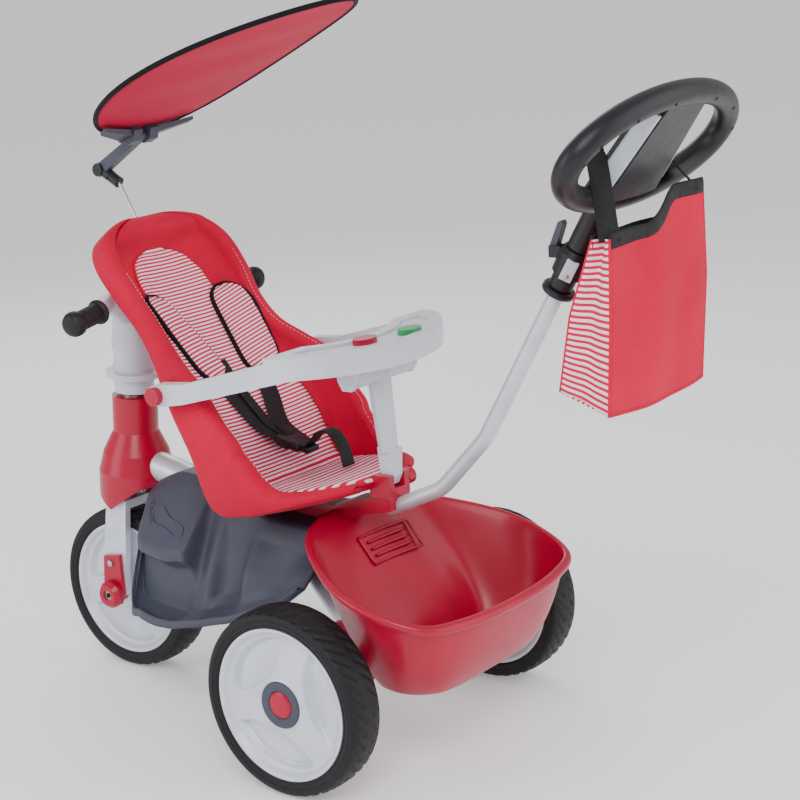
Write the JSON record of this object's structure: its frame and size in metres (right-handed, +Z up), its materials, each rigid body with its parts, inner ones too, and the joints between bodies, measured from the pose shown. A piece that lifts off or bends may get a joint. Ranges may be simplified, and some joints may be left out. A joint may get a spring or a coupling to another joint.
{
  "type": "children's tricycle",
  "caption": "Parent-push children's tricycle with a rear-facing padded seat, play tray, sun canopy, rear basket, steering fork and push handle with bag.",
  "frame": {"origin": "on the ground under the middle of the whole tricycle", "axes": "+X towards the front wheel, +Y to the left, +Z up"},
  "size_m": [1.049, 0.5, 0.9529],
  "materials": {
    "silver_paint": "satin silver paint",
    "steel": "plain steel",
    "silver_plastic": "moulded silver-grey plastic",
    "wheel_plastic": "moulded pale silver plastic",
    "tyre_plastic": "moulded black tyre with slanted tread",
    "red_plastic": "moulded red plastic",
    "green_plastic": "moulded green plastic",
    "grey_plastic": "moulded dark grey plastic",
    "black_plastic": "moulded black plastic",
    "grip_rubber": "soft black rubber",
    "red_fabric": "woven red polyester",
    "striped_fabric": "red and white striped weave",
    "webbing": "black woven webbing"
  },
  "bodies": {
    "frame": {"head_tube": "steel", "steering_bushes": "black_plastic", "main_tube": "silver_paint", "rear_stay_left": "silver_paint", "rear_stay_right": "silver_paint", "head_covers": "red_plastic", "footrest": "grey_plastic", "axle_housing": "red_plastic", "rear_axle": "steel", "axle_nuts": "steel", "basket": "red_plastic", "pole_socket": "red_plastic", "seat_bracket": "red_plastic", "push_pole": "silver_paint", "frame_screws": "steel", "handle_clamp": "black_plastic"},
    "fork": {"fork": "silver_paint", "steering_tube": "steel", "neck": "silver_plastic", "handlebar": "silver_plastic", "grip_left": "grip_rubber", "grip_right": "grip_rubber", "fork_end_left": "red_plastic", "fork_end_right": "red_plastic", "fork_screws": "steel"},
    "front_wheel": {"front_tyre": "tyre_plastic", "front_rim": "wheel_plastic", "front_axle": "steel"},
    "rear_wheel_left": {"rear_tyre_left": "tyre_plastic", "rear_rim_left": "wheel_plastic", "hub_ring_left": "grey_plastic", "hub_button_left": "red_plastic"},
    "rear_wheel_right": {"rear_tyre_right": "tyre_plastic", "rear_rim_right": "wheel_plastic", "hub_ring_right": "grey_plastic", "hub_button_right": "red_plastic"},
    "seat": {"seat_shell": "red_plastic", "seat_lug": "red_plastic", "seat_cover": "red_fabric", "seat_pad": "striped_fabric", "shoulder_pads": "striped_fabric", "harness": "webbing", "buckle": "black_plastic", "tray_knobs": "red_plastic", "canopy_rod": "steel", "canopy_ferrule": "black_plastic"},
    "tray": {"tray": "silver_plastic"},
    "red_button": {"red_button": "red_plastic"},
    "green_button": {"green_button": "green_plastic"},
    "strut": {"tray_strut": "silver_plastic"},
    "canopy_arm": {"canopy_arm": "grey_plastic"},
    "canopy": {"canopy_bracket": "grey_plastic", "canopy_fabric": "red_fabric", "canopy_hoop": "steel"},
    "handle": {"handle_stem": "steel", "handle_ring": "black_plastic", "handle_hub": "black_plastic", "handle_insert": "silver_plastic", "bag": "red_fabric"},
    "clamp_lever": {"handle_lever": "grey_plastic"}
  },
  "joints": [
    {"name": "steering", "type": "hinge", "parent": "frame", "child": "fork", "pos_m": [0.38546, 0, 0.288], "axis": [-0.0751, 0, 0.9972], "range_deg": [-5, 5]},
    {"name": "front_wheel_spin", "type": "hinge", "parent": "fork", "child": "front_wheel", "pos_m": [0.40446, 0, 0.12], "axis": [0, 1, 0], "continuous": true},
    {"name": "rear_wheel_left_spin", "type": "hinge", "parent": "frame", "child": "rear_wheel_left", "pos_m": [-0.07854, 0.223, 0.12], "axis": [0, 1, 0], "continuous": true},
    {"name": "rear_wheel_right_spin", "type": "hinge", "parent": "frame", "child": "rear_wheel_right", "pos_m": [-0.07854, -0.223, 0.12], "axis": [0, 1, 0], "continuous": true},
    {"name": "seat_lift", "type": "slide", "parent": "frame", "child": "seat", "axis": [0, 0, 1], "range_m": [0, 0.08]},
    {"name": "tray_swing", "type": "hinge", "parent": "seat", "child": "tray", "pos_m": [0.16746, 0, 0.465], "axis": [0, 1, 0], "range_deg": [0, 55]},
    {"name": "strut_fold", "type": "hinge", "parent": "tray", "child": "strut", "pos_m": [-0.06554, 0, 0.486], "axis": [0, 1, 0], "range_deg": [0, 80]},
    {"name": "red_button_press", "type": "slide", "parent": "tray", "child": "red_button", "axis": [0, 0, -1], "range_m": [0, 0.003], "stiffness_N_per_m": 400, "springref_m": -0.002},
    {"name": "green_button_press", "type": "slide", "parent": "tray", "child": "green_button", "axis": [0, 0, -1], "range_m": [0, 0.003], "stiffness_N_per_m": 400, "springref_m": -0.002},
    {"name": "canopy_fold", "type": "hinge", "parent": "seat", "child": "canopy_arm", "pos_m": [0.40246, 0, 0.729], "axis": [0, 1, 0], "range_deg": [-4, 30]},
    {"name": "canopy_tilt", "type": "hinge", "parent": "canopy_arm", "child": "canopy", "pos_m": [0.32346, 0, 0.777], "axis": [0, 1, 0], "range_deg": [-12, 5]},
    {"name": "handle_extend", "type": "slide", "parent": "frame", "child": "handle", "axis": [-0.5036, 0, 0.8639], "range_m": [0, 0.09]},
    {"name": "clamp_lever_open", "type": "hinge", "parent": "frame", "child": "clamp_lever", "pos_m": [-0.33819, 0, 0.65669], "axis": [0, 1, 0], "range_deg": [0, 45]}
  ]
}
